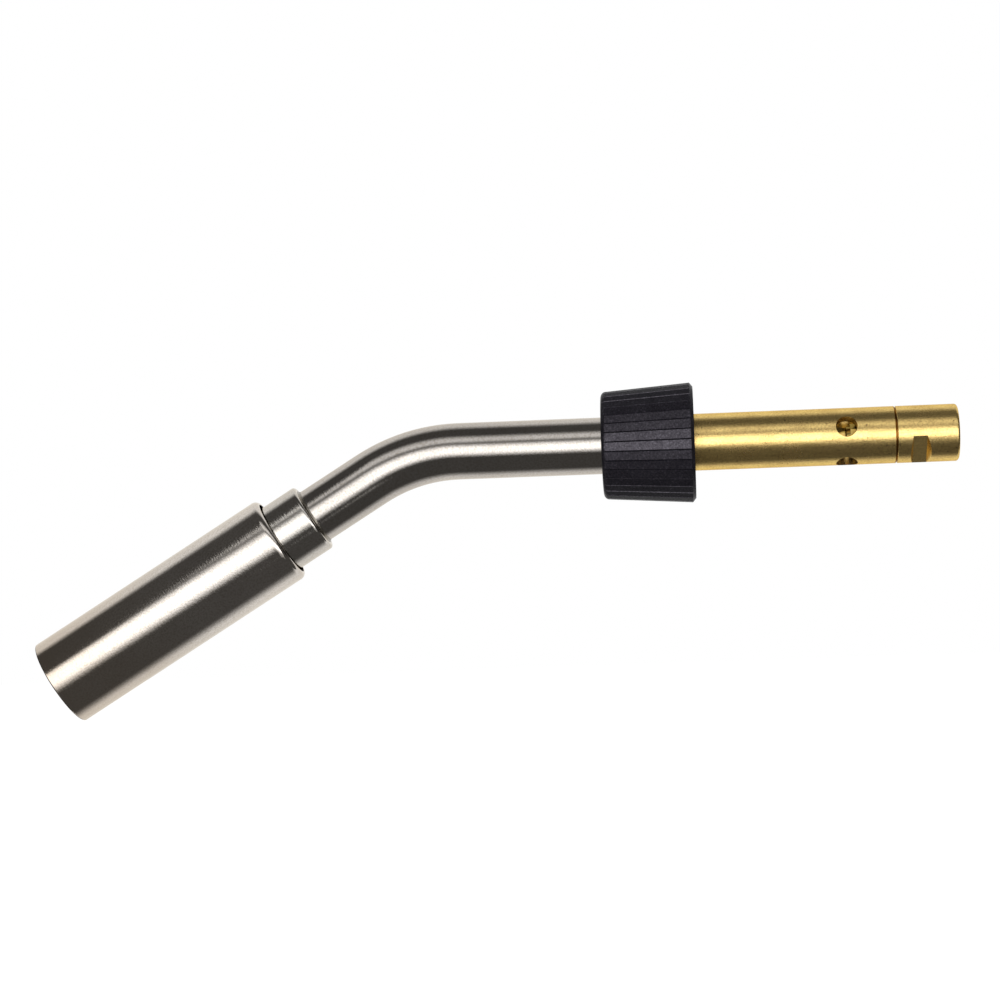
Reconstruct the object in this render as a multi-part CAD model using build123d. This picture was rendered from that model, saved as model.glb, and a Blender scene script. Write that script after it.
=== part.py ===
"""Plug-in swirl-flame burner head: flame barrel, bent neck, hand nut and brass gas stem.

Millimetres. The origin is on the stem's axis, in the face of the stem's flange that a torch
handle is clamped against. +X runs along the stem to the gas inlet, +Z is up, and the neck
bends down towards the flame barrel.
"""
import os
from math import cos, radians, sin, tan

from build123d import *

# brass stem, measured along X from the flange's clamping face
stem_r = 8.0
stem_length = 90.0
seam_x = 72.9
seam_width = 0.3
seam_depth = 0.8
seam_chamfer = 0.15
stem_bore_r = 4.8
chamber_from = 46.0
chamber_to = 62.0
throat_r = 3.2
throat_from = 32.0
throat_to = 37.0
flange_r = 10.3
flange_width = 4.0
flange_round = 0.4

# bent neck, and the stem's spigot inside it
neck_r = 8.0
neck_wall = 1.0
bend_x = -63.4
bend_angle = 31.15
bend_radius = 48.0
spigot_r = neck_r - neck_wall
spigot_length = 12.0
spigot_bore_r = 5.9
braze_groove_x = -9.4
braze_width = 1.2
braze_depth = 0.5

# air holes, at even angles from one that is this far above the near side
air_hole_r = 3.0
air_hole_x = 58.9
air_hole_count = 4
air_hole_angle = 16.5

# gas inlet
thread_r = 5.5
thread_from = 63.0
inlet_r = 4.5
inlet_floor_x = 79.5
inlet_lead = 0.4
seal_r = 4.2
seal_width = 1.5
seal_hole_r = 2.0
filter_r = 3.0
filter_from = 73.4
filter_length = 3.0
clip_x = 76.5
clip_width = 0.6
clip_groove_r = 3.4
clip_inner_r = 2.4
gas_way_r = 1.5
end_round = 0.9

# spanner flats
flat_offset = 6.0
flat_x = 79.1
flat_floor = 3.8
flat_rear_lean = 20.0
flat_front_lean = 29.0
flat_angle = -50.6

# gas jet
jet_thread_r = 2.5
jet_thread_to = 68.5
jet_washer_width = 0.5
jet_hex = 6.0
jet_hex_from = 60.2
jet_nose_r = 2.7
jet_tip_x = 58.9
jet_bore_r = 1.1
jet_orifice_r = 0.25
jet_orifice_length = 1.0

# lower leg, measured along its axis from where it crosses the stem's axis
collar_rear = 32.95
collar_front = 60.0
collar_r = 10.15
collar_round = 1.0
neck_end = 56.0
braze_leg = 0.7
barrel_rear = 44.0
barrel_mouth = 119.3
barrel_r = 12.85
barrel_wall = 0.8
lip_length = 1.7
lip_drop = 1.05
lip_bore_r = 11.3
mouth_round_outer = 0.4
mouth_round_inner = 0.2

# ring that holds the barrel clear of the collar
lug_ring_from = 51.0
lug_ring_width = 3.0
lug_ring_r = 10.8
lug_count = 4
lug_width = 5.0

# burner cup and the stack inside it
cup_shoulder = 2.0
cup_end = 77.0
cup_r = 9.6
cup_seat_from = 64.0
cup_bore_r = 8.3
cup_rim = 0.5
gauze_width = 0.6
gauze_hole_r = 0.55
gauze_rings = 4
gauze_pitch = 1.75
gauze_ring_width = 1.6
gauze_ring_bore_r = 7.6
swirler_from = cup_seat_from + gauze_width + gauze_ring_width
swirler_width = 6.0
swirler_to = swirler_from + swirler_width
swirler_rim_r = 7.6
swirler_hub_r = 2.6
vane_count = 8
vane_thickness = 0.8
vane_lean = 38.0
swirler_clip_width = 1.0
swirler_clip_bore_r = 7.5
swirler_clip_r = 8.8

# hand nut
nut_rear_x = -9.15
nut_front_x = 16.7
nut_rear_r = 15.1
nut_front_r = 16.95
nut_web = 3.45
nut_bore_r = 8.35
nut_bore_lead = 0.6
nut_sides = 36
nut_phase = 1.2
nut_groove_depth = 0.32
nut_groove_half = 0.2
nut_rear_round = 1.6
nut_front_chamfer = 1.0
nut_front_drop = 1.25
nut_mouth_r = 13.5

# slip ring and threaded insert inside the nut
slip_gap = 0.1
slip_width = 1.5
slip_r = 11.4
slip_bore_r = 8.08
slip_recess_r = 11.6
insert_rear_x = -0.6
insert_front_x = 14.6
insert_r = 12.9
insert_crest_r = 10.8
insert_pitch = 1.5
insert_crest = 0.3
insert_thread_depth = 0.7


def turned(outline, rounds=()):
    """A solid turned about X. Outline points are (x, radius), and rounds are (x, radius, size)."""
    face = make_face(Polyline(*outline, close=True))
    for x, r, size in rounds:
        corner = face.vertices().sort_by_distance((x, r, 0))[0]
        face = fillet(corner, size)
    return revolve(face, axis=Axis.X)


def ring(x0, x1, inner, outer):
    """A plain ring or tube about X."""
    return turned([(x0, inner), (x1, inner), (x1, outer), (x0, outer)])


def rod(x0, x1, radius):
    """A plain round bar about X."""
    return turned([(x0, 0), (x1, 0), (x1, radius), (x0, radius)])


def about_x(shape, angle):
    """The shape turned about X, where 90 takes +Y to +Z."""
    return Rotation(angle, 0, 0) * shape


def spring_ring(x0, width, inner, outer, gap):
    """A ring about X, cut open at the bottom."""
    slot = Pos(x0 + width / 2, 0, -outer) * Box(2 * width, gap, 2 * outer)
    return ring(x0, x0 + width, inner, outer) - slot


def on_leg(shape):
    """Moves a shape made about X onto the lower leg, where x is the distance along the leg."""
    down = radians(bend_angle)
    leg = Plane(origin=(bend_x, 0, 0), x_dir=(-cos(down), 0, -sin(down)), z_dir=(0, 1, 0))
    return leg.location * shape


def make_neck_tube():
    down = radians(bend_angle)
    toe = (bend_x - neck_end * cos(down), 0, -neck_end * sin(down))
    path = FilletPolyline((-flange_width, 0, 0), (bend_x, 0, 0), toe, radius=bend_radius)
    start = Plane(origin=(-flange_width, 0, 0), z_dir=(-1, 0, 0))
    outside = sweep(start * Circle(neck_r), path=path)
    inside = sweep(start * Circle(neck_r - neck_wall), path=path)
    return outside - inside


def make_mixing_tube():
    rear_x = -flange_width - spigot_length
    body = turned(
        [
            (rear_x, spigot_bore_r),
            (throat_from, throat_r),
            (throat_to, throat_r),
            (chamber_from, stem_bore_r),
            (chamber_to, stem_bore_r),
            (chamber_to, thread_r),
            (seam_x, thread_r),
            (seam_x, stem_r - seam_depth),
            (seam_x - seam_width, stem_r - seam_depth),
            (seam_x - seam_width, stem_r - seam_chamfer),
            (seam_x - seam_width - seam_chamfer, stem_r),
            (0, stem_r),
            (0, flange_r),
            (-flange_width, flange_r),
            (-flange_width, spigot_r),
            (rear_x, spigot_r),
        ],
        [(0, flange_r, flange_round), (-flange_width, flange_r, flange_round)],
    )
    groove = ring(braze_groove_x, braze_groove_x + braze_width, spigot_r - braze_depth, spigot_r)
    bottom_up = (Align.CENTER, Align.CENTER, Align.MIN)
    hole = Pos(air_hole_x, 0, 0) * Cylinder(air_hole_r, 2 * stem_r, align=bottom_up)
    holes = []
    for i in range(air_hole_count):
        holes.append(about_x(hole, 90 - air_hole_angle + 360 / air_hole_count * i))
    return body - groove - holes


def make_stem_braze():
    return ring(braze_groove_x, braze_groove_x + braze_width, spigot_r - braze_depth, spigot_r)


def spanner_pocket():
    """The cutter that leaves one spanner flat, facing +Y."""
    half = flat_floor / 2
    reach = stem_r - flat_offset + 1
    rear_spread = reach * tan(radians(flat_rear_lean))
    front_spread = reach * tan(radians(flat_front_lean))
    outline = Polyline(
        (flat_x - half, flat_offset),
        (flat_x + half, flat_offset),
        (flat_x + half + front_spread, flat_offset + reach),
        (flat_x - half - rear_spread, flat_offset + reach),
        close=True,
    )
    return extrude(make_face(outline), stem_r, both=True)


def make_inlet_body():
    body = turned(
        [
            (thread_from, jet_thread_r),
            (jet_thread_to, jet_thread_r),
            (jet_thread_to, gas_way_r),
            (filter_from, gas_way_r),
            (filter_from, filter_r),
            (clip_x, filter_r),
            (clip_x, clip_groove_r),
            (clip_x + clip_width, clip_groove_r),
            (clip_x + clip_width, filter_r),
            (inlet_floor_x - seal_width, filter_r),
            (inlet_floor_x - seal_width, seal_r),
            (inlet_floor_x, seal_r),
            (inlet_floor_x, inlet_r),
            (stem_length - inlet_lead, inlet_r),
            (stem_length, inlet_r + inlet_lead),
            (stem_length, stem_r),
            (seam_x + seam_chamfer, stem_r),
            (seam_x, stem_r - seam_chamfer),
            (seam_x, thread_r),
            (thread_from, thread_r),
        ],
        [(stem_length, stem_r, end_round)],
    )
    pocket = spanner_pocket()
    return body - about_x(pocket, 180 - flat_angle) - about_x(pocket, -flat_angle)


def make_gas_jet():
    hexagon = Plane(origin=(jet_hex_from, 0, 0), z_dir=(1, 0, 0)) * RegularPolygon(
        jet_hex / 2, 6, major_radius=False
    )
    head_to = thread_from - jet_washer_width
    head = extrude(hexagon, head_to - jet_hex_from)
    nose = turned(
        [(jet_tip_x, 0), (jet_hex_from, 0), (jet_hex_from, jet_nose_r), (jet_tip_x, jet_nose_r)],
        [(jet_tip_x, jet_nose_r, 0.4)],
    )
    shank = rod(head_to, jet_thread_to, jet_thread_r)
    wide = rod(jet_tip_x + jet_orifice_length, jet_thread_to, jet_bore_r)
    orifice = rod(jet_tip_x, jet_tip_x + jet_orifice_length, jet_orifice_r)
    return nose + head + shank - wide - orifice


def make_jet_washer():
    return ring(thread_from - jet_washer_width, thread_from, jet_thread_r, jet_hex / 2)


def make_inlet_filter():
    return rod(filter_from, filter_from + filter_length, filter_r)


def make_filter_clip():
    return spring_ring(clip_x, clip_width, clip_inner_r, clip_groove_r, 1.6)


def make_inlet_seal():
    return ring(inlet_floor_x - seal_width, inlet_floor_x, seal_hole_r, seal_r)


def make_step_collar():
    outline = [(collar_rear, neck_r), (collar_front, neck_r), (collar_front, collar_r), (collar_rear, collar_r)]
    return on_leg(turned(outline, [(collar_rear, collar_r, collar_round)]))


def make_collar_braze():
    third = braze_leg / 3
    return on_leg(
        turned(
            [
                (collar_rear - braze_leg, neck_r),
                (collar_rear, neck_r),
                (collar_rear, neck_r + braze_leg),
                (collar_rear - third, neck_r + third),
            ]
        )
    )


def make_burner_barrel():
    inner = barrel_r - barrel_wall
    lip_from = barrel_rear + lip_length
    outline = [
        Line((lip_from, barrel_r), (barrel_mouth, barrel_r)),
        Line((barrel_mouth, barrel_r), (barrel_mouth, inner)),
        Line((barrel_mouth, inner), (lip_from, inner)),
        Line((lip_from, inner), (barrel_rear, lip_bore_r)),
        Line((barrel_rear, lip_bore_r), (barrel_rear, barrel_r - lip_drop)),
        TangentArc((lip_from, barrel_r), (barrel_rear, barrel_r - lip_drop), tangent=(-1, 0)),
    ]
    face = make_face(outline)
    for r, size in ((barrel_r, mouth_round_outer), (inner, mouth_round_inner)):
        corner = face.vertices().sort_by_distance((barrel_mouth, r, 0))[0]
        face = fillet(corner, size)
    return on_leg(revolve(face, axis=Axis.X))


def make_centring_ring():
    lug_ring_to = lug_ring_from + lug_ring_width
    barrel_inner = barrel_r - barrel_wall
    reach = ring(lug_ring_from, lug_ring_to, collar_r, barrel_inner)
    shape = ring(lug_ring_from, lug_ring_to, collar_r, lug_ring_r)
    for i in range(lug_count):
        lug = Pos(lug_ring_from + lug_ring_width / 2, collar_r, 0) * Box(lug_ring_width, collar_r, lug_width)
        shape = shape + (about_x(lug, 45 + 360 / lug_count * i) & reach)
    return on_leg(shape)


def make_burner_cup():
    cup = turned(
        [
            (neck_end, neck_r - neck_wall),
            (cup_seat_from, neck_r - neck_wall),
            (cup_seat_from, cup_bore_r),
            (swirler_to, cup_bore_r),
            (swirler_to, swirler_clip_r),
            (swirler_to + swirler_clip_width, swirler_clip_r),
            (swirler_to + swirler_clip_width, cup_bore_r),
            (cup_end - cup_rim, cup_bore_r),
            (cup_end, cup_bore_r + cup_rim),
            (cup_end, cup_r),
            (collar_front + cup_shoulder, cup_r),
            (collar_front + cup_shoulder, collar_r),
            (collar_front, collar_r),
            (collar_front, neck_r),
            (neck_end, neck_r),
        ]
    )
    return on_leg(cup)


def make_gauze_disc():
    disc = rod(cup_seat_from, cup_seat_from + gauze_width, cup_bore_r)
    hole = rod(cup_seat_from, cup_seat_from + gauze_width, gauze_hole_r)
    holes = [hole]
    for k in range(1, gauze_rings + 1):
        for i in range(6 * k):
            holes.append(about_x(Pos(0, k * gauze_pitch, 0) * hole, 60 / k * i))
    return on_leg(disc - holes)


def make_gauze_ring():
    start = cup_seat_from + gauze_width
    return on_leg(ring(start, start + gauze_ring_width, gauze_ring_bore_r, cup_bore_r))


def make_swirler():
    middle = swirler_from + swirler_width / 2
    span = swirler_rim_r - swirler_hub_r
    room = ring(swirler_from + 0.5, swirler_to - 0.5, swirler_hub_r - 0.3, swirler_rim_r + 0.3)
    plate = Box(2 * swirler_width, span + 1, vane_thickness)
    vane = Pos(middle, swirler_hub_r + span / 2, 0) * Rotation(0, vane_lean, 0) * plate
    shape = ring(swirler_from, swirler_to, swirler_rim_r, cup_bore_r)
    shape = shape + turned(
        [(swirler_from, 0), (swirler_to + 1, 0), (swirler_to, swirler_hub_r), (swirler_from, swirler_hub_r)]
    )
    for i in range(vane_count):
        shape = shape + about_x(vane & room, 360 / vane_count * i)
    return on_leg(shape)


def make_swirler_clip():
    return on_leg(spring_ring(swirler_to, swirler_clip_width, swirler_clip_bore_r, swirler_clip_r, 3.0))


def nut_facets():
    """The nut's many-sided taper, before its ends are rounded."""
    ends = []
    for x, r in ((nut_rear_x, nut_rear_r), (nut_front_x, nut_front_r)):
        section = Plane(origin=(x, 0, 0), x_dir=(0, 1, 0), z_dir=(1, 0, 0))
        ends.append(section * RegularPolygon(r, nut_sides, major_radius=True, rotation=nut_phase))
    return loft(ends, ruled=True)


def nut_groove():
    """The cutter of the groove along one edge of the taper, at +Y."""
    slope = (nut_front_r - nut_rear_r) / (nut_front_x - nut_rear_x)
    over = 2.0
    start = Plane(
        origin=(nut_rear_x - over, nut_rear_r - over * slope, 0),
        x_dir=(0, 0, 1),
        z_dir=(1, slope, 0),
    )
    wide = 3 * nut_groove_half
    outline = Polyline(
        (0, nut_groove_depth), (wide, -2 * nut_groove_depth), (-wide, -2 * nut_groove_depth), close=True
    )
    return extrude(start * make_face(outline), nut_front_x - nut_rear_x + 3 * over)


def make_coupling_nut():
    envelope = turned(
        [
            (nut_rear_x, 0),
            (nut_front_x, 0),
            (nut_front_x, nut_front_r - nut_front_drop),
            (nut_front_x - nut_front_chamfer, nut_front_r),
            (nut_rear_x, nut_rear_r),
        ],
        [(nut_rear_x, nut_rear_r, nut_rear_round)],
    )
    web_x = nut_rear_x + nut_web
    hollow = turned(
        [
            (nut_rear_x, 0),
            (nut_rear_x, nut_bore_r + nut_bore_lead),
            (nut_rear_x + nut_bore_lead, nut_bore_r),
            (web_x, nut_bore_r),
            (web_x, slip_recess_r),
            (insert_rear_x, slip_recess_r),
            (insert_rear_x, insert_r),
            (insert_front_x, insert_r),
            (insert_front_x, nut_mouth_r),
            (nut_front_x, nut_mouth_r),
            (nut_front_x, 0),
        ]
    )
    groove = nut_groove()
    grooves = []
    for i in range(nut_sides):
        grooves.append(about_x(groove, nut_phase + 360 / nut_sides * i))
    return (nut_facets() & envelope) - hollow - grooves


def make_thread_insert():
    turns = int((insert_front_x - insert_rear_x) / insert_pitch)
    root = insert_crest_r + insert_thread_depth
    flank = 0.5 * (insert_pitch - insert_crest)
    outline = [(insert_rear_x, insert_r), (insert_rear_x, root)]
    for i in range(turns):
        x = insert_rear_x + i * insert_pitch
        outline.append((x + flank, insert_crest_r))
        outline.append((x + flank + insert_crest, insert_crest_r))
        outline.append((x + insert_pitch, root))
    outline.append((insert_front_x, root + 0.4))
    outline.append((insert_front_x, insert_r))
    return turned(outline)


def make_slip_ring():
    slip_to = -flange_width - slip_gap
    return turned(
        [
            (slip_to - slip_width, slip_bore_r),
            (slip_to, slip_bore_r),
            (slip_to, slip_r),
            (slip_to - slip_width, slip_r),
        ],
        [(slip_to, slip_r, 0.3), (slip_to - slip_width, slip_r, 0.3)],
    )


parts = {
    "neck_tube": make_neck_tube,
    "mixing_tube": make_mixing_tube,
    "stem_braze": make_stem_braze,
    "inlet_body": make_inlet_body,
    "gas_jet": make_gas_jet,
    "jet_washer": make_jet_washer,
    "inlet_filter": make_inlet_filter,
    "filter_clip": make_filter_clip,
    "inlet_seal": make_inlet_seal,
    "step_collar": make_step_collar,
    "collar_braze": make_collar_braze,
    "burner_barrel": make_burner_barrel,
    "centring_ring": make_centring_ring,
    "burner_cup": make_burner_cup,
    "gauze_disc": make_gauze_disc,
    "gauze_ring": make_gauze_ring,
    "swirler": make_swirler,
    "swirler_clip": make_swirler_clip,
    "coupling_nut": make_coupling_nut,
    "thread_insert": make_thread_insert,
    "slip_ring": make_slip_ring,
}

os.makedirs("parts", exist_ok=True)
for name, make in parts.items():
    export_step(make(), f"parts/{name}.step")
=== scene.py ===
import math

import bpy
from mathutils import Matrix, Vector


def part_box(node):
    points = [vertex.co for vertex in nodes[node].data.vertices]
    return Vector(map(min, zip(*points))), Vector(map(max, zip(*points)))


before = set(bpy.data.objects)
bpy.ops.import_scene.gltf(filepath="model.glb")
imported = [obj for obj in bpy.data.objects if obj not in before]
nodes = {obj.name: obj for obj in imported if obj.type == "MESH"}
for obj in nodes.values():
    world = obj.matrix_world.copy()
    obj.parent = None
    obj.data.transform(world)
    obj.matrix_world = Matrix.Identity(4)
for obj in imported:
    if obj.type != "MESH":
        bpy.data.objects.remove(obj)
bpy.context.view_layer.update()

# ---------------------------------------------------------------- places, all from the frame

MM = 0.001
SEAM_X = 72.6 * MM
STEM_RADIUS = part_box("inlet_body")[1].z
BEND_X = -63.4 * MM
BEND_ANGLE = math.radians(31.15)
BEND_RADIUS = 48.0 * MM
BEND_START = BEND_X + BEND_RADIUS * math.tan(BEND_ANGLE / 2)
LEG = Vector((-math.cos(BEND_ANGLE), 0.0, -math.sin(BEND_ANGLE)))
LEG_UP = Vector((-math.sin(BEND_ANGLE), 0.0, math.cos(BEND_ANGLE)))
LEG_FROM = Vector((BEND_X, 0.0, 0.0))
MOUTH = 119.3 * MM

# ---------------------------------------------------------------- camera

LOOK_AT = Vector((-0.03859, 0.0, -0.01423))
CAMERA_AT = Vector((0.0116, -0.714, -0.061))
CAMERA_ROLL = math.radians(1.858)
SENSOR_MM = 36.0
LENS_MM = 91.44


def make_camera():
    data = bpy.data.cameras.new("camera")
    data.sensor_width = SENSOR_MM
    data.lens = LENS_MM
    data.clip_end = 100.0
    camera = bpy.data.objects.new("camera", data)
    bpy.context.scene.collection.objects.link(camera)
    back = (CAMERA_AT - LOOK_AT).normalized()
    right = Vector((0.0, 0.0, 1.0)).cross(back).normalized()
    up = back.cross(right)
    rolled_right = right * math.cos(CAMERA_ROLL) - up * math.sin(CAMERA_ROLL)
    rolled_up = right * math.sin(CAMERA_ROLL) + up * math.cos(CAMERA_ROLL)
    turn = Matrix((rolled_right, rolled_up, back)).transposed().to_4x4()
    camera.matrix_world = Matrix.Translation(CAMERA_AT) @ turn
    bpy.context.scene.camera = camera


make_camera()

# ---------------------------------------------------------------- light

BASE_LEVEL = 0.08


def make_world():
    world = bpy.data.worlds.new("studio")
    bpy.context.scene.world = world
    world.use_nodes = True
    tree = world.node_tree
    tree.nodes.clear()
    path = tree.nodes.new("ShaderNodeLightPath")
    dim = tree.nodes.new("ShaderNodeBackground")
    dim.inputs["Color"].default_value = (1.0, 0.97, 0.94, 1.0)
    dim.inputs["Strength"].default_value = BASE_LEVEL
    white = tree.nodes.new("ShaderNodeBackground")
    white.inputs["Color"].default_value = (1.0, 1.0, 1.0, 1.0)
    white.inputs["Strength"].default_value = 1.0
    mix = tree.nodes.new("ShaderNodeMixShader")
    out = tree.nodes.new("ShaderNodeOutputWorld")
    tree.links.new(path.outputs["Is Camera Ray"], mix.inputs["Fac"])
    tree.links.new(dim.outputs["Background"], mix.inputs[1])
    tree.links.new(white.outputs["Background"], mix.inputs[2])
    tree.links.new(mix.outputs["Shader"], out.inputs["Surface"])


def panel(name, centre, outward, width, height, radiance):
    """A flat light at centre that faces inward, width along X, as bright as radiance all over."""
    data = bpy.data.lights.new(name, "AREA")
    data.shape = "RECTANGLE"
    data.size = width
    data.size_y = height
    data.energy = radiance * math.pi * width * height
    light = bpy.data.objects.new(name, data)
    bpy.context.scene.collection.objects.link(light)
    along = Vector((1.0, 0.0, 0.0))
    turn = Matrix((along, outward.cross(along), outward)).transposed().to_4x4()
    light.matrix_world = Matrix.Translation(centre) @ turn
    light.visible_camera = False


# Boxes of light round the object, all with faded edges. Angles are in degrees about X, from the
# camera's direction up over the top: where a box starts, is full, stops being full and ends.
# Its span is along X, in metres from the point looked at.
RIG_DISTANCE = 0.9
BOX_GAP = 0.01
STRIP_ANGLE = 3.0
TENT_END = 1.3
SOFTBOXES = {
    "key": {"angles": (-27, -2, 8, 34), "span": (-0.55, TENT_END), "level": 2.3},
    "key_left": {"angles": (-27, -2, 13, 26), "span": (-TENT_END, -0.55), "level": 2.3},
    "key_right": {"angles": (-14, -5, 3, 13), "span": (0.0, TENT_END), "level": 0.5},
    "upper": {"angles": (28, 43, 47, 68), "span": (-0.55, TENT_END), "level": 0.9},
    "back": {"angles": (94, 122, 232, 268), "span": (-TENT_END, TENT_END), "level": 0.9},
    "low_left": {"angles": (-106, -80, -30, -12), "span": (-TENT_END, -0.25), "level": 0.32},
    "low_right": {"angles": (-42, -33, -25, -16), "span": (0.25, TENT_END), "level": 0.4},
}


def soft_step(value, start, end):
    share = min(1.0, max(0.0, (value - start) / (end - start)))
    return share * share * (3.0 - 2.0 * share)


def softbox(name, distance, angles, span, level):
    """Narrow strips side by side, curved round the object, dimmer towards both long edges."""
    start, full_from, full_to, end = angles
    along = Vector((1.0, 0.0, 0.0))
    towards_camera = (CAMERA_AT - LOOK_AT).normalized()
    ahead = (towards_camera - along * towards_camera.x).normalized()
    above = ahead.cross(along)
    count = round((end - start) / STRIP_ANGLE)
    tall = 2 * distance * math.tan(math.radians(end - start) / count / 2)
    for i in range(count):
        angle = start + (end - start) * (i + 0.5) / count
        share = soft_step(angle, start, full_from) * (1.0 - soft_step(angle, full_to, end))
        outward = ahead * math.cos(math.radians(angle)) + above * math.sin(math.radians(angle))
        centre = LOOK_AT + outward * distance + along * sum(span) / 2
        panel(f"{name}_{i}", centre, outward, span[1] - span[0], tall, level * share)


def make_lights():
    for i, (name, box) in enumerate(SOFTBOXES.items()):
        softbox(name, RIG_DISTANCE + i * BOX_GAP, **box)


make_world()
make_lights()

# ---------------------------------------------------------------- floor

FLOOR_DROP = 0.11


def make_floor():
    mesh = bpy.data.meshes.new("floor")
    reach = 40.0
    z = -FLOOR_DROP
    corners = [(-reach, -reach, z), (reach, -reach, z), (reach, reach, z), (-reach, reach, z)]
    mesh.from_pydata(corners, [], [(0, 1, 2, 3)])
    floor = bpy.data.objects.new("floor", mesh)
    bpy.context.scene.collection.objects.link(floor)
    material = bpy.data.materials.new("pale_floor")
    material.use_nodes = True
    shader = material.node_tree.nodes["Principled BSDF"]
    shader.inputs["Base Color"].default_value = (0.9, 0.9, 0.9, 1.0)
    shader.inputs["Roughness"].default_value = 0.9
    shader.inputs["Emission Color"].default_value = (1.0, 1.0, 1.0, 1.0)
    shader.inputs["Emission Strength"].default_value = 1.0
    mesh.materials.append(material)
    floor.visible_glossy = False
    floor.visible_diffuse = False


make_floor()

# ---------------------------------------------------------------- materials


METAL_BUMP = 0.03 * MM
FINE_BUMP = 0.02 * MM


def new_material(name):
    material = bpy.data.materials.new(name)
    material.use_nodes = True
    tree = material.node_tree
    return material, tree, tree.nodes["Principled BSDF"]


def put(socket, value, tree):
    if isinstance(value, bpy.types.NodeSocket):
        tree.links.new(value, socket)
    else:
        socket.default_value = value


def calc(tree, operation, a, b=0.0, c=0.0):
    n = tree.nodes.new("ShaderNodeMath")
    n.operation = operation
    for socket, value in zip(n.inputs, (a, b, c)):
        put(socket, value, tree)
    return n.outputs["Value"]


def dot(tree, a, b):
    n = tree.nodes.new("ShaderNodeVectorMath")
    n.operation = "DOT_PRODUCT"
    put(n.inputs[0], a, tree)
    put(n.inputs[1], b, tree)
    return n.outputs["Value"]


def noise(tree, vector, scale, detail=2.0, roughness=0.5):
    n = tree.nodes.new("ShaderNodeTexNoise")
    put(n.inputs["Vector"], vector, tree)
    n.inputs["Scale"].default_value = scale
    n.inputs["Detail"].default_value = detail
    n.inputs["Roughness"].default_value = roughness
    return n.outputs["Fac"]


def combine(tree, x, y, z):
    n = tree.nodes.new("ShaderNodeCombineXYZ")
    for socket, value in zip(n.inputs, (x, y, z)):
        put(socket, value, tree)
    return n.outputs["Vector"]


def fit(tree, value, low, high, to_low, to_high):
    n = tree.nodes.new("ShaderNodeMapRange")
    n.clamp = True
    for socket, number in zip(n.inputs, (value, low, high, to_low, to_high)):
        put(socket, number, tree)
    return n.outputs["Result"]


def blend_colours(tree, share, first, second):
    n = tree.nodes.new("ShaderNodeMix")
    n.data_type = "RGBA"
    put(n.inputs[0], share, tree)
    put(n.inputs[6], first, tree)
    put(n.inputs[7], second, tree)
    return n.outputs[2]


def bump(tree, shader, height, distance, strength=1.0):
    n = tree.nodes.new("ShaderNodeBump")
    n.inputs["Strength"].default_value = strength
    n.inputs["Distance"].default_value = distance
    put(n.inputs["Height"], height, tree)
    tree.links.new(n.outputs["Normal"], shader.inputs["Normal"])


def place(tree):
    return tree.nodes.new("ShaderNodeTexCoord").outputs["Object"]


def along_stem(tree):
    """(distance along the axis, and the two directions across it) for a piece on the stem."""
    split = tree.nodes.new("ShaderNodeSeparateXYZ")
    put(split.inputs[0], place(tree), tree)
    return split.outputs[0], split.outputs[1], split.outputs[2]


def along_leg(tree):
    """The same for a piece on the lower leg."""
    where = place(tree)
    split = tree.nodes.new("ShaderNodeSeparateXYZ")
    put(split.inputs[0], where, tree)
    along = calc(tree, "SUBTRACT", dot(tree, where, LEG), LEG_FROM.dot(LEG))
    up = calc(tree, "SUBTRACT", dot(tree, where, LEG_UP), LEG_FROM.dot(LEG_UP))
    return along, split.outputs[1], up


def along_bend(tree):
    """The same for the neck, whose axis turns about a centre below the start of its bend."""
    split = tree.nodes.new("ShaderNodeSeparateXYZ")
    put(split.inputs[0], place(tree), tree)
    back = calc(tree, "SUBTRACT", BEND_START, split.outputs[0])
    rise = calc(tree, "ADD", split.outputs[2], BEND_RADIUS)
    turn = calc(tree, "ARCTAN2", back, rise)
    bent = calc(tree, "MULTIPLY", fit(tree, turn, 0.0, BEND_ANGLE, 0.0, BEND_ANGLE), BEND_RADIUS)
    straight = calc(tree, "MINIMUM", back, 0.0)
    leg, _, leg_up = along_leg(tree)
    leg_from = BEND_RADIUS * math.tan(BEND_ANGLE / 2)
    lower = calc(tree, "MAXIMUM", calc(tree, "SUBTRACT", leg, leg_from), 0.0)
    along = calc(tree, "ADD", calc(tree, "ADD", bent, straight), lower)
    return along, split.outputs[1], leg_up


def grain_lines(tree, axes, along_scale, across_scale):
    """Noise whose cells are stretched round the axis or along it."""
    along, side, up = axes
    vector = combine(
        tree,
        calc(tree, "MULTIPLY", along, along_scale),
        calc(tree, "MULTIPLY", side, across_scale),
        calc(tree, "MULTIPLY", up, across_scale),
    )
    return noise(tree, vector, 1.0, 3.0, 0.6)


def mix_in(tree, amount, texture, low, high, first, second):
    """Goes from first to second as the texture goes from low to high, up to the amount."""
    return blend_colours(tree, fit(tree, texture, low, high, 0.0, amount), first, second)


def total(tree, *terms):
    """The sum of (weight, texture) pairs."""
    result = 0.0
    for weight, texture in terms:
        result = calc(tree, "MULTIPLY_ADD", texture, weight, result)
    return result


def square(tree, value):
    return calc(tree, "MULTIPLY", value, value)


STRAW = (0.53, 0.445, 0.355, 1.0)
STRAW_REACH = 45.0 * MM
# Near-black for the mouth rim: partly heat blackening, partly a painted dark reflection on the rounded
# rim.
SCORCH_AND_PAINTED_REFLECTION = (0.03, 0.018, 0.012, 1.0)
SCORCH_AND_REFLECTION_FADE = 0.1 * MM
STEEL_GRAIN = (0.30, 0.26, 0.20, 1.0)


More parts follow.
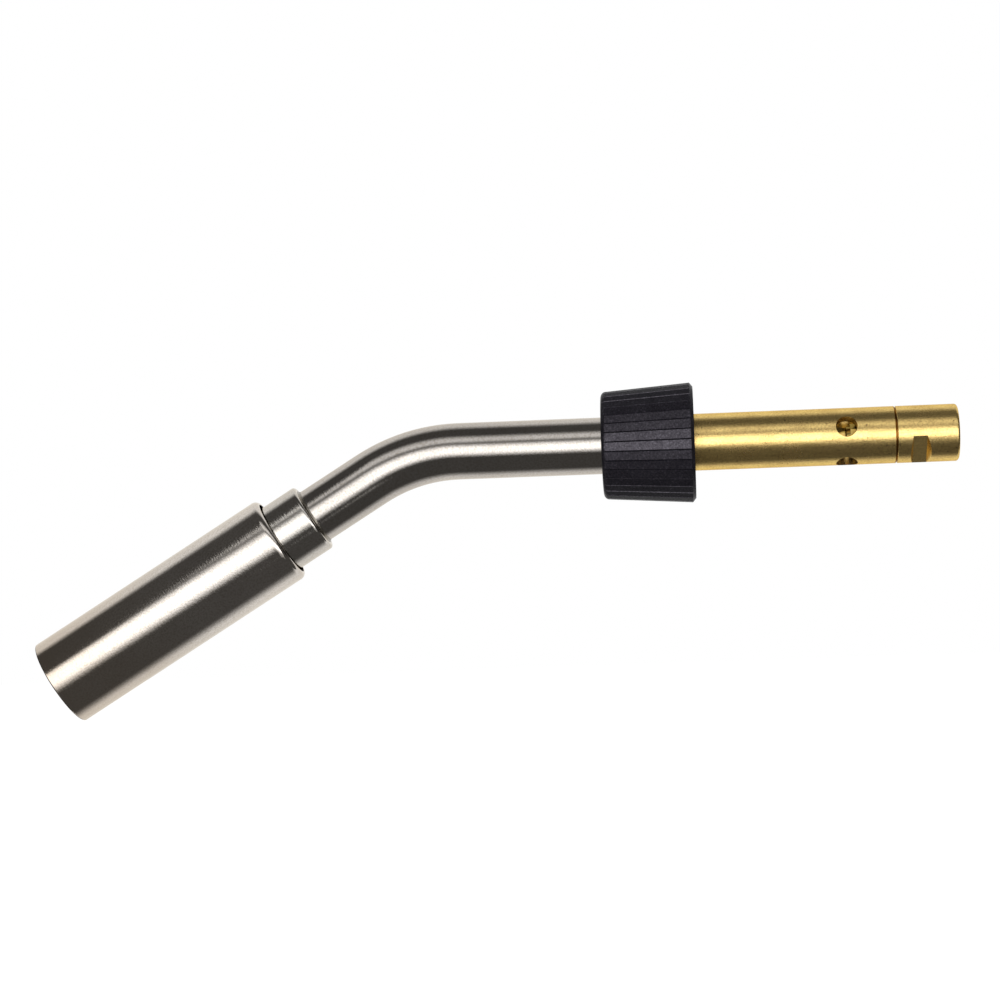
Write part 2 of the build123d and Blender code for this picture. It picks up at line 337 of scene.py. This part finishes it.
def stainless(name, axes_of, tone, warm_from=None, black_from=None):
    """Polished stainless tube: fine rings round the axis, a ragged grain and faint clouding.

    Heat has tinted it straw beyond warm_from. Beyond black_from it is painted near-black: partly heat
    blackening, partly a painted dark reflection on the rounded rim.
    """
    material, tree, shader = new_material(name)
    axes = axes_of(tree)
    where = place(tree)
    rings = grain_lines(tree, axes, 2600.0, 160.0)
    grain = noise(tree, where, 1900.0, 3.0, 0.6)
    cloud = noise(tree, where, 60.0, 3.0)
    duller = tuple(0.9 * c for c in tone)
    colour = mix_in(tree, 1.0, cloud, 0.35, 0.65, (*tone, 1.0), (*duller, 1.0))
    colour = mix_in(tree, 0.5, grain, 0.42, 0.72, colour, STEEL_GRAIN)
    if warm_from is not None:
        tint = fit(tree, axes[0], warm_from, warm_from + STRAW_REACH, 0.0, 1.0)
        tint = calc(tree, "MULTIPLY", tint, fit(tree, cloud, 0.3, 0.7, 0.6, 1.0))
        colour = blend_colours(tree, tint, colour, STRAW)
    # The mouth rim is painted near-black: partly heat blackening, partly a painted dark reflection.
    if black_from is not None:
        edge = fit(tree, axes[0], black_from, black_from + SCORCH_AND_REFLECTION_FADE, 0.0, 1.0)
        colour = blend_colours(tree, edge, colour, SCORCH_AND_PAINTED_REFLECTION)
    shader.inputs["Metallic"].default_value = 1.0
    put(shader.inputs["Base Color"], colour, tree)
    shader.inputs["Specular Tint"].default_value = (0.97, 0.93, 0.86, 1.0)
    put(shader.inputs["Roughness"], fit(tree, rings, 0.3, 0.7, 0.07, 0.12), tree)
    bump(tree, shader, total(tree, (0.5, rings), (0.5, grain)), METAL_BUMP)
    return material


CLEAN_BRASS = (0.93, 0.68, 0.26)
AGED_BRASS = (0.66, 0.44, 0.17)
STREAKED_BRASS = (0.42, 0.27, 0.09)
GRAINY_BRASS = (0.42, 0.29, 0.09)
# Darker brass for surfaces inside the bores: painted shade.
BORE_PAINTED_SHADE_BRASS = (0.50, 0.35, 0.10)
BRASS_SPECKS = (0.30, 0.19, 0.07, 1.0)
# Dark orange-brown line for the seam gap between the brass pieces: painted shade.
SEAM_PAINTED_SHADE = (0.22, 0.085, 0.008, 1.0)
SEAM_SHADE_HALF_WIDTH = 0.22 * MM
SEAM_SHADE_FADE = 0.34 * MM


def shaded(colour, shade):
    return (*(shade * c for c in colour), 1.0)


def bar_brass(name, axes_of, shade=1.0, joint=None):
    """Drawn and turned brass bar: streaks along the axis, faint rings, dull spots and specks.

    Inside the bores it is painted darker, as painted shade. At the joint a dark orange-brown line is
    painted shade in the seam gap.
    """
    material, tree, shader = new_material(name)
    axes = axes_of(tree)
    where = place(tree)
    rings = grain_lines(tree, axes, 2600.0, 160.0)
    streaks = grain_lines(tree, axes, 160.0, 1900.0)
    grain = noise(tree, where, 2000.0, 3.0, 0.6)
    cloud = noise(tree, where, 150.0, 4.0, 0.6)
    specks = noise(tree, where, 1000.0, 2.0)
    # shade below 1 darkens every brass colour: painted shade for pieces inside the tubes.
    clean = shaded(CLEAN_BRASS, shade)
    colour = mix_in(tree, 0.6, cloud, 0.35, 0.75, clean, shaded(AGED_BRASS, shade))
    colour = mix_in(tree, 0.45, streaks, 0.5, 0.8, colour, shaded(STREAKED_BRASS, shade))
    colour = mix_in(tree, 0.55, grain, 0.42, 0.72, colour, shaded(GRAINY_BRASS, shade))
    colour = mix_in(tree, 0.8, specks, 0.68, 0.74, colour, BRASS_SPECKS)
    # Surfaces inside the bores get the darker colour: painted shade.
    out_from_axis = calc(tree, "SQRT", calc(tree, "ADD", square(tree, axes[1]), square(tree, axes[2])))
    bore_shade = fit(tree, out_from_axis, 0.7 * STEM_RADIUS, 0.74 * STEM_RADIUS, 1.0, 0.0)
    colour = blend_colours(tree, bore_shade, colour, shaded(BORE_PAINTED_SHADE_BRASS, shade))
    # Painted shade in the seam gap at the joint.
    if joint is not None:
        off = calc(tree, "ABSOLUTE", calc(tree, "SUBTRACT", axes[0], joint))
        seam_shade = fit(tree, off, SEAM_SHADE_HALF_WIDTH, SEAM_SHADE_FADE, 1.0, 0.0)
        colour = blend_colours(tree, seam_shade, colour, SEAM_PAINTED_SHADE)
    shader.inputs["Metallic"].default_value = 0.94
    put(shader.inputs["Base Color"], colour, tree)
    shader.inputs["Specular Tint"].default_value = (0.86, 0.73, 0.46, 1.0)
    put(shader.inputs["Roughness"], fit(tree, cloud, 0.3, 0.7, 0.20, 0.29), tree)
    bump(tree, shader, total(tree, (0.3, rings), (0.4, streaks), (0.6, grain)), METAL_BUMP)
    return material


NYLON_DARK = (0.012, 0.011, 0.015, 1.0)
NYLON_LIGHT = (0.017, 0.016, 0.021, 1.0)
NYLON_GRAIN = (0.09, 0.08, 0.11, 1.0)


def moulded_nylon(name):
    """Grained black nylon with a faint violet cast, its sheen dying away at a glancing angle."""
    material, tree, shader = new_material(name)
    where = place(tree)
    grain = noise(tree, where, 2000.0, 3.0, 0.7)
    cloud = noise(tree, where, 160.0, 3.0)
    glancing = tree.nodes.new("ShaderNodeLayerWeight").outputs["Facing"]
    shine = fit(tree, glancing, 0.1, 0.45, 0.55, 0.02)
    shine = calc(tree, "MULTIPLY", shine, fit(tree, grain, 0.35, 0.65, 0.5, 1.6))
    colour = mix_in(tree, 1.0, cloud, 0.3, 0.7, NYLON_DARK, NYLON_LIGHT)
    colour = mix_in(tree, 0.5, grain, 0.58, 0.72, colour, NYLON_GRAIN)
    put(shader.inputs["Base Color"], colour, tree)
    put(shader.inputs["Roughness"], fit(tree, cloud, 0.3, 0.7, 0.27, 0.34), tree)
    put(shader.inputs["Specular IOR Level"], shine, tree)
    shader.inputs["Specular Tint"].default_value = (0.94, 0.87, 1.0, 1.0)
    bump(tree, shader, grain, FINE_BUMP)
    return material


def dull_metal(name, base, rough, scale=1500.0):
    material, tree, shader = new_material(name)
    where = place(tree)
    grain = noise(tree, where, scale, 3.0)
    cloud = noise(tree, where, 200.0, 3.0)
    darker = tuple(0.7 * c for c in base) + (1.0,)
    shader.inputs["Metallic"].default_value = 1.0
    put(shader.inputs["Base Color"], mix_in(tree, 1.0, cloud, 0.3, 0.7, (*base, 1.0), darker), tree)
    put(shader.inputs["Roughness"], fit(tree, grain, 0.3, 0.7, rough - 0.05, rough + 0.1), tree)
    bump(tree, shader, grain, FINE_BUMP, 0.6)
    return material


def rubber(name):
    material, tree, shader = new_material(name)
    grain = noise(tree, place(tree), 2500.0, 3.0)
    colour = mix_in(tree, 1.0, grain, 0.3, 0.7, (0.02, 0.02, 0.02, 1.0), (0.035, 0.035, 0.035, 1.0))
    put(shader.inputs["Base Color"], colour, tree)
    put(shader.inputs["Roughness"], fit(tree, grain, 0.3, 0.7, 0.55, 0.7), tree)
    bump(tree, shader, grain, FINE_BUMP, 0.6)
    return material


def dress(material, *names):
    for name in names:
        mesh = nodes[name].data
        mesh.materials.clear()
        mesh.materials.append(material)


WARM_FROM = 75.0 * MM
# Width of the near-black mouth rim: partly heat blackening, partly a painted dark reflection.
SCORCH_AND_REFLECTION_RIM = 0.35 * MM
barrel_steel = stainless("steel_barrel", along_leg, (0.66, 0.615, 0.57), WARM_FROM, MOUTH - SCORCH_AND_REFLECTION_RIM)
spring_steel = dull_metal("spring_steel", (0.45, 0.44, 0.43), 0.35)

dress(barrel_steel, "burner_barrel")
dress(stainless("steel_collar", along_leg, (0.61, 0.58, 0.54)), "step_collar", "centring_ring")
dress(stainless("steel_neck", along_bend, (0.53, 0.497, 0.465)), "neck_tube")
dress(bar_brass("brass_stem", along_stem, 1.0, SEAM_X), "mixing_tube", "inlet_body")
# The jet, insert, cup and swirler sit inside the tubes and the nut and get darker copies of the brass:
# painted shade.
dress(bar_brass("brass_inner_painted_shade", along_stem, 0.5), "gas_jet", "thread_insert")
dress(bar_brass("brass_cup_painted_shade", along_leg, 0.75), "burner_cup", "swirler")
dress(moulded_nylon("black_nylon"), "coupling_nut")
dress(spring_steel, "swirler_clip", "filter_clip", "slip_ring", "gauze_disc", "gauze_ring")
dress(dull_metal("silver_braze", (0.34, 0.31, 0.26), 0.3), "collar_braze", "stem_braze")
dress(dull_metal("copper", (0.75, 0.42, 0.27), 0.3), "jet_washer")
dress(dull_metal("sintered_bronze", (0.50, 0.34, 0.18), 0.55, 5000.0), "inlet_filter")
dress(rubber("seal_rubber"), "inlet_seal")

# ---------------------------------------------------------------- smooth shading

SHARP_ANGLE = math.radians(25)
for cad_node in nodes.values():
    cad_node.data.polygons.foreach_set("use_smooth", [True] * len(cad_node.data.polygons))
    cad_node.data.set_sharp_from_angle(angle=SHARP_ANGLE)

bpy.context.scene.view_settings.view_transform = "Standard"
